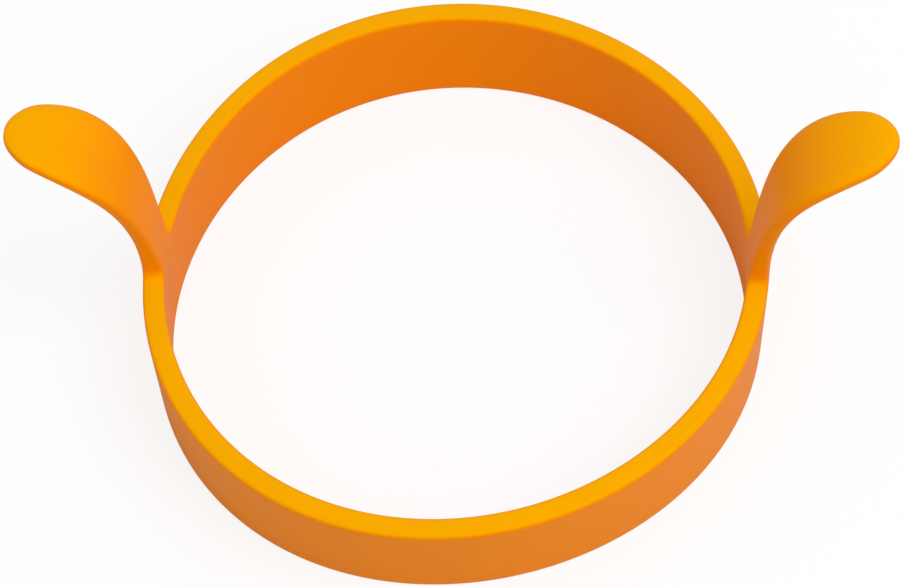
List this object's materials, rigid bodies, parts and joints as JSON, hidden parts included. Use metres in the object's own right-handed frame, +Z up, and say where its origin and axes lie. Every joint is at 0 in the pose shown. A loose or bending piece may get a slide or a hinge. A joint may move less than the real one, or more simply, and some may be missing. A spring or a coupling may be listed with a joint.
{
  "type": "egg ring",
  "caption": "Round silicone egg ring: a low band with a leaf-shaped lifting handle at each side, curled outwards and hinged at a slim flexible neck.",
  "frame": {"origin": "centre of the base, in the plane that rests on the pan", "axes": "+Z up, X from the left handle to the right handle, Y across the band"},
  "size_m": [0.135, 0.1, 0.0525],
  "materials": {
    "band_silicone": "satin moulded silicone",
    "web_silicone": "satin moulded silicone",
    "handle_silicone": "satin moulded silicone"
  },
  "bodies": {
    "ring": {"ring_band": "band_silicone", "left_hinge_web": "web_silicone", "right_hinge_web": "web_silicone"},
    "left_handle": {"left_handle": "handle_silicone"},
    "right_handle": {"right_handle": "handle_silicone"}
  },
  "joints": [
    {"name": "left_handle_bend", "type": "hinge", "parent": "ring", "child": "left_handle", "pos_m": [-0.0483, 0, 0.0246], "axis": [0, 1, 0], "range_deg": [-60, 75], "stiffness_Nm_per_rad": 0.0075, "deforming": ["left_hinge_web"]},
    {"name": "right_handle_bend", "type": "hinge", "parent": "ring", "child": "right_handle", "pos_m": [0.0483, 0, 0.0246], "axis": [0, -1, 0], "range_deg": [-60, 75], "stiffness_Nm_per_rad": 0.0075, "deforming": ["right_hinge_web"]}
  ]
}
